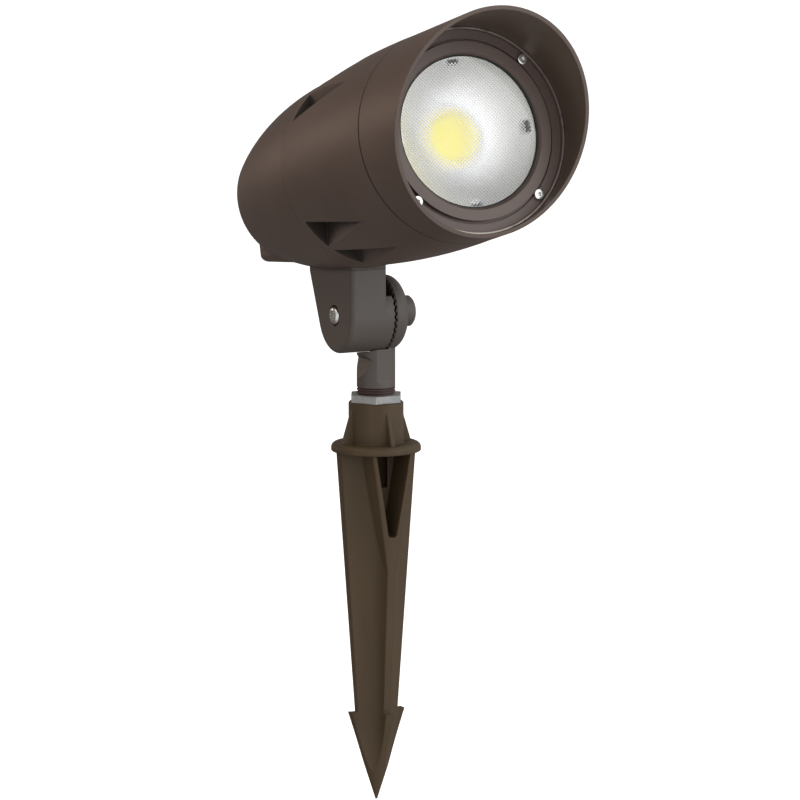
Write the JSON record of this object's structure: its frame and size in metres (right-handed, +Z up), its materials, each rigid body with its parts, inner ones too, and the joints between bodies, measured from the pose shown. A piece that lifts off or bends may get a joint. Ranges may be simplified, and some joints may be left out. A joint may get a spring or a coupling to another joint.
{
  "type": "flagpole flood light",
  "caption": "Bullet-shaped outdoor flood light with a slant-cut hood, tilting on a toothed knuckle above a threaded stem that turns in a barbed ground stake.",
  "frame": {"origin": "on the stake's axis at the underside of its flange, where it meets the ground", "axes": "+Z up along the stake, -Y the way the light faces, +X to the right seen from behind the light's face looking along +Y"},
  "size_m": [0.1212, 0.2736, 0.4774],
  "materials": {
    "bronze_paint": "fine-textured satin powder coat",
    "stake_plastic": "moulded, slightly glossy",
    "zinc": "zinc plated",
    "stainless": "bright",
    "black_rubber": "matte",
    "lens_glass": "clear with a stippled back",
    "reflector_bright": "bright metallised",
    "phosphor": "silicone over phosphor",
    "white_plastic": "moulded",
    "plain_aluminium": "machined",
    "black_plastic": "moulded"
  },
  "bodies": {
    "stake": {"ground_stake": "stake_plastic"},
    "stem": {"knuckle_base": "bronze_paint"},
    "lock_nut": {"locknut": "zinc"},
    "bolt": {"knuckle_bolt": "stainless", "bolt_washer": "stainless"},
    "head": {"knuckle_arm": "bronze_paint", "knuckle_seal": "black_rubber", "arm_gasket": "black_rubber", "arm_nut": "zinc", "rear_housing": "bronze_paint", "hood": "bronze_paint", "bezel_ring": "bronze_paint", "bezel_screw_1": "stainless", "bezel_screw_2": "stainless", "bezel_screw_3": "stainless", "bezel_screw_4": "stainless", "lens": "lens_glass", "lens_gasket": "black_rubber", "reflector": "reflector_bright", "led_cob": "phosphor", "led_holder": "white_plastic", "holder_screw_1": "stainless", "holder_screw_2": "stainless", "heat_plate": "plain_aluminium", "plate_screw_1": "stainless", "plate_screw_2": "stainless", "plate_screw_3": "stainless", "driver": "black_plastic"}
  },
  "joints": [
    {"name": "pan", "type": "hinge", "parent": "stake", "child": "stem", "pos_m": [0, 0, 0.029], "axis": [0, 0, 1], "range_deg": [-180, 180]},
    {"name": "tilt", "type": "hinge", "parent": "stem", "child": "head", "pos_m": [0, 0, 0.0805], "axis": [-1, 0, 0], "range_deg": [-48, 72]},
    {"name": "lock_nut_turn", "type": "hinge", "parent": "stem", "child": "lock_nut", "pos_m": [0, 0, 0.029], "axis": [0, 0, 1], "range_deg": [-180, 180]},
    {"name": "bolt_turn", "type": "hinge", "parent": "stem", "child": "bolt", "pos_m": [0, 0, 0.0805], "axis": [-1, 0, 0], "range_deg": [-180, 180]}
  ]
}
